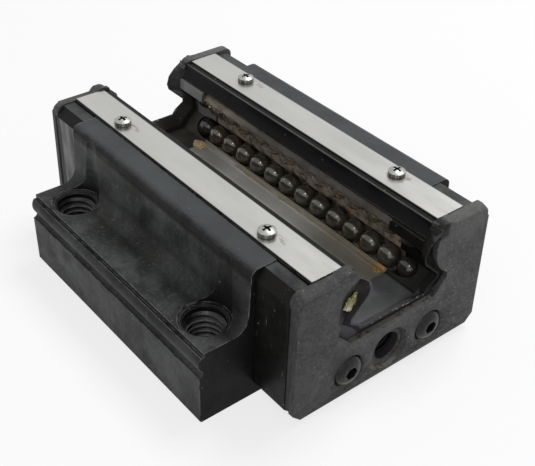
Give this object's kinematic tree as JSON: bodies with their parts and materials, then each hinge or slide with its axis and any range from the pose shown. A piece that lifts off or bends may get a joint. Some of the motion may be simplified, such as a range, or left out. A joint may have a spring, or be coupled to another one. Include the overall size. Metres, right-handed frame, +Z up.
{
  "type": "linear guide block",
  "caption": "Flanged linear guide block with recirculating ball rows, seen channel up: steel body with tapped flange holes, end plates, wiping seals and ball retainers.",
  "frame": {"origin": "middle of the mounting face, which the block lies on", "axes": "+Z up out of the rail channel, Y along the rail with the open grease port at -Y, X across the flanges"},
  "size_m": [0.07, 0.083, 0.0307],
  "materials": {
    "oxide_steel": "dark oxide on ground steel, worn along the edges",
    "satin_steel": "satin rolled strip with dirt round the screws",
    "ball_steel": "polished bearing steel under old grease",
    "bright_screw": "bright plated steel",
    "black_screw": "dark oxide, rubbed bright on the crown",
    "black_resin": "moulded black resin",
    "guide_resin": "moulded black resin",
    "cover_resin": "moulded resin, greyed and speckled by use",
    "lip_rubber": "smooth black rubber",
    "floor_sheet": "formed sheet under a film of old grease",
    "retainer_resin": "brown resin under old grease"
  },
  "bodies": {
    "block": {"carriage_body": "oxide_steel", "floor_retainer": "floor_sheet", "end_plate_front": "black_resin", "end_plate_rear": "black_resin", "end_seal_front": "lip_rubber", "end_seal_rear": "lip_rubber", "end_cover_front": "cover_resin", "end_cover_rear": "cover_resin", "end_screws_front": "black_screw", "end_screws_rear": "black_screw", "grease_plug": "black_screw", "upper_retainer_right": "retainer_resin", "side_seal_strip_right": "satin_steel", "side_seal_lip_right": "lip_rubber", "side_seal_screws_right": "bright_screw", "return_guide_front_right": "guide_resin", "return_guide_rear_right": "guide_resin", "upper_retainer_left": "retainer_resin", "side_seal_strip_left": "satin_steel", "side_seal_lip_left": "lip_rubber", "side_seal_screws_left": "bright_screw", "return_guide_front_left": "guide_resin", "return_guide_rear_left": "guide_resin"},
    "balls_right_lower_track": {"balls_right_lower_track": "ball_steel"},
    "balls_right_lower_return": {"balls_right_lower_return": "ball_steel"},
    "balls_right_lower_rear_turn": {"balls_right_lower_rear_turn": "ball_steel"},
    "balls_right_lower_front_turn": {"balls_right_lower_front_turn": "ball_steel"},
    "balls_right_upper_track": {"balls_right_upper_track": "ball_steel"},
    "balls_right_upper_return": {"balls_right_upper_return": "ball_steel"},
    "balls_right_upper_rear_turn": {"balls_right_upper_rear_turn": "ball_steel"},
    "balls_right_upper_front_turn": {"balls_right_upper_front_turn": "ball_steel"},
    "balls_left_lower_track": {"balls_left_lower_track": "ball_steel"},
    "balls_left_lower_return": {"balls_left_lower_return": "ball_steel"},
    "balls_left_lower_rear_turn": {"balls_left_lower_rear_turn": "ball_steel"},
    "balls_left_lower_front_turn": {"balls_left_lower_front_turn": "ball_steel"},
    "balls_left_upper_track": {"balls_left_upper_track": "ball_steel"},
    "balls_left_upper_return": {"balls_left_upper_return": "ball_steel"},
    "balls_left_upper_rear_turn": {"balls_left_upper_rear_turn": "ball_steel"},
    "balls_left_upper_front_turn": {"balls_left_upper_front_turn": "ball_steel"}
  },
  "joints": [
    {"name": "right_lower_track_run", "type": "slide", "parent": "block", "child": "balls_right_lower_track", "axis": [0, 1, 0], "range_m": [-0.00252, 0.00252]},
    {"name": "right_lower_return_run", "type": "slide", "parent": "block", "child": "balls_right_lower_return", "axis": [0, -1, 0], "range_m": [-0.00253, 0.00253]},
    {"name": "right_lower_rear_turn_roll", "type": "hinge", "parent": "block", "child": "balls_right_lower_rear_turn", "pos_m": [0.0155, 0.03028, 0.0121], "axis": [-0.5592, 0, -0.829], "range_deg": [-30.05, 30.05]},
    {"name": "right_lower_front_turn_roll", "type": "hinge", "parent": "block", "child": "balls_right_lower_front_turn", "pos_m": [0.0155, -0.03028, 0.0121], "axis": [-0.5592, 0, -0.829], "range_deg": [-30.05, 30.05]},
    {"name": "right_upper_track_run", "type": "slide", "parent": "block", "child": "balls_right_upper_track", "axis": [0, 1, 0], "range_m": [-0.00252, 0.00252]},
    {"name": "right_upper_return_run", "type": "slide", "parent": "block", "child": "balls_right_upper_return", "axis": [0, -1, 0], "range_m": [-0.00253, 0.00253]},
    {"name": "right_upper_rear_turn_roll", "type": "hinge", "parent": "block", "child": "balls_right_upper_rear_turn", "pos_m": [0.0155, 0.03028, 0.0199], "axis": [-0.5592, 0, -0.829], "range_deg": [-30.05, 30.05]},
    {"name": "right_upper_front_turn_roll", "type": "hinge", "parent": "block", "child": "balls_right_upper_front_turn", "pos_m": [0.0155, -0.03028, 0.0199], "axis": [-0.5592, 0, -0.829], "range_deg": [-30.05, 30.05]},
    {"name": "left_lower_track_run", "type": "slide", "parent": "block", "child": "balls_left_lower_track", "axis": [0, 1, 0], "range_m": [-0.00252, 0.00252]},
    {"name": "left_lower_return_run", "type": "slide", "parent": "block", "child": "balls_left_lower_return", "axis": [0, -1, 0], "range_m": [-0.00253, 0.00253]},
    {"name": "left_lower_rear_turn_roll", "type": "hinge", "parent": "block", "child": "balls_left_lower_rear_turn", "pos_m": [-0.0155, 0.03028, 0.0121], "axis": [-0.5592, 0, 0.829], "range_deg": [-30.05, 30.05]},
    {"name": "left_lower_front_turn_roll", "type": "hinge", "parent": "block", "child": "balls_left_lower_front_turn", "pos_m": [-0.0155, -0.03028, 0.0121], "axis": [-0.5592, 0, 0.829], "range_deg": [-30.05, 30.05]},
    {"name": "left_upper_track_run", "type": "slide", "parent": "block", "child": "balls_left_upper_track", "axis": [0, 1, 0], "range_m": [-0.00252, 0.00252]},
    {"name": "left_upper_return_run", "type": "slide", "parent": "block", "child": "balls_left_upper_return", "axis": [0, -1, 0], "range_m": [-0.00253, 0.00253]},
    {"name": "left_upper_rear_turn_roll", "type": "hinge", "parent": "block", "child": "balls_left_upper_rear_turn", "pos_m": [-0.0155, 0.03028, 0.0199], "axis": [-0.5592, 0, 0.829], "range_deg": [-30.05, 30.05]},
    {"name": "left_upper_front_turn_roll", "type": "hinge", "parent": "block", "child": "balls_left_upper_front_turn", "pos_m": [-0.0155, -0.03028, 0.0199], "axis": [-0.5592, 0, 0.829], "range_deg": [-30.05, 30.05]}
  ],
  "couplings": [
    {"joint": "right_lower_return_run", "follows": "right_lower_track_run", "ratio": 1},
    {"joint": "right_lower_rear_turn_roll", "follows": "right_lower_track_run", "rad_per_m": 207.47},
    {"joint": "right_lower_front_turn_roll", "follows": "right_lower_track_run", "rad_per_m": 207.47},
    {"joint": "right_upper_return_run", "follows": "right_upper_track_run", "ratio": 1},
    {"joint": "right_upper_rear_turn_roll", "follows": "right_upper_track_run", "rad_per_m": 207.47},
    {"joint": "right_upper_front_turn_roll", "follows": "right_upper_track_run", "rad_per_m": 207.47},
    {"joint": "left_lower_return_run", "follows": "left_lower_track_run", "ratio": 1},
    {"joint": "left_lower_rear_turn_roll", "follows": "left_lower_track_run", "rad_per_m": 207.47},
    {"joint": "left_lower_front_turn_roll", "follows": "left_lower_track_run", "rad_per_m": 207.47},
    {"joint": "left_upper_return_run", "follows": "left_upper_track_run", "ratio": 1},
    {"joint": "left_upper_rear_turn_roll", "follows": "left_upper_track_run", "rad_per_m": 207.47},
    {"joint": "left_upper_front_turn_roll", "follows": "left_upper_track_run", "rad_per_m": 207.47}
  ]
}
